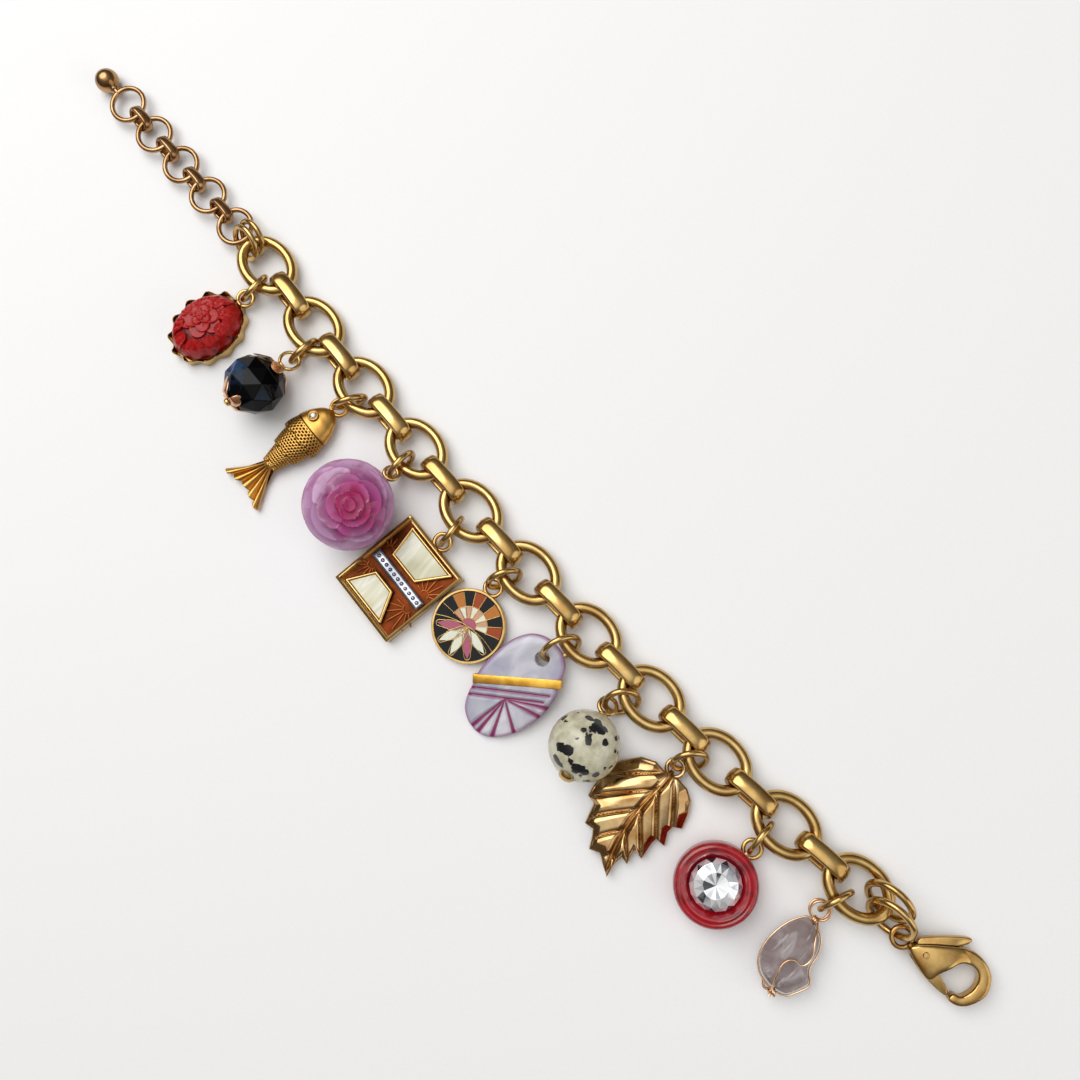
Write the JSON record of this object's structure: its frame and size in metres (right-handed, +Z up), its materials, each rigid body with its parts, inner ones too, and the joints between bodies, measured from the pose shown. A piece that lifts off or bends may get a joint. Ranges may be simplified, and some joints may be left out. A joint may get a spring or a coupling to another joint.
{
  "type": "charm bracelet",
  "caption": "Open charm bracelet of heavy oval links laid out straight, with a lobster clasp, an extension chain and assorted charms hung on jump rings.",
  "frame": {"origin": "middle of the footprint on the surface that the bracelet lies on", "axes": "+X along the chain from the end ball to the clasp, +Y away from the charms, +Z up from the surface"},
  "size_m": [0.213, 0.0364, 0.015],
  "materials": {
    "gold": "polished gold-tone plating over brass",
    "leaf_gold": "polished stamped gold-tone brass",
    "rose_gold": "satin rose-gold-tone brass",
    "coral": "moulded coral-red resin, glossy",
    "black_glass": "cut and polished, opaque black",
    "rose_resin": "moulded pink resin, cloudy",
    "pearl": "polished mother of pearl",
    "enamel": "fired cloisonne enamel on gold-tone metal",
    "shell": "polished grey-lilac shell",
    "jasper": "polished spotted jasper",
    "red_button": "pearly red resin, glossy",
    "clear_glass": "cut clear glass",
    "quartz": "tumbled smoky quartz"
  },
  "bodies": {
    "bracelet": {"big_link_1": "gold", "big_link_10": "gold", "big_link_11": "gold", "big_link_2": "gold", "big_link_3": "gold", "big_link_4": "gold", "big_link_5": "gold", "big_link_6": "gold", "big_link_7": "gold", "big_link_8": "gold", "big_link_9": "gold", "black_bead": "black_glass", "black_bead_pin": "rose_gold", "button": "red_button", "clasp_body": "gold", "clasp_ring_1": "gold", "clasp_ring_2": "gold", "connector_1": "gold", "connector_10": "gold", "connector_2": "gold", "connector_3": "gold", "connector_4": "gold", "connector_5": "gold", "connector_6": "gold", "connector_7": "gold", "connector_8": "gold", "connector_9": "gold", "coral_setting": "gold", "coral_stone": "coral", "crystal": "quartz", "crystal_wire": "gold", "enamel_disc": "enamel", "end_ring_1": "gold", "end_ring_2": "gold", "extension_chain": "gold", "fish": "gold", "jasper_bead": "jasper", "jasper_bead_pin": "gold", "jump_ring_black_bead": "gold", "jump_ring_button": "gold", "jump_ring_coral": "gold", "jump_ring_crystal": "gold", "jump_ring_disc": "gold", "jump_ring_fish": "gold", "jump_ring_jasper": "gold", "jump_ring_leaf": "gold", "jump_ring_rose_bead": "gold", "jump_ring_shell": "gold", "jump_ring_square": "gold", "leaf": "leaf_gold", "rhinestone": "clear_glass", "rose_bead": "rose_resin", "rose_bead_eye": "gold", "shell": "shell", "shell_band": "gold", "square_frame": "gold", "square_pearl_1": "pearl", "square_pearl_2": "pearl"},
    "clasp_lever": {"clasp_lever": "gold"}
  },
  "joints": [
    {"name": "clasp_lever_hinge", "type": "hinge", "parent": "bracelet", "child": "clasp_lever", "pos_m": [0.09619, 0.00873, 0.00212], "axis": [0.0426, 0, 0.9991], "range_deg": [0, 18], "stiffness_Nm_per_rad": 0.005, "springref_deg": -5.73}
  ]
}
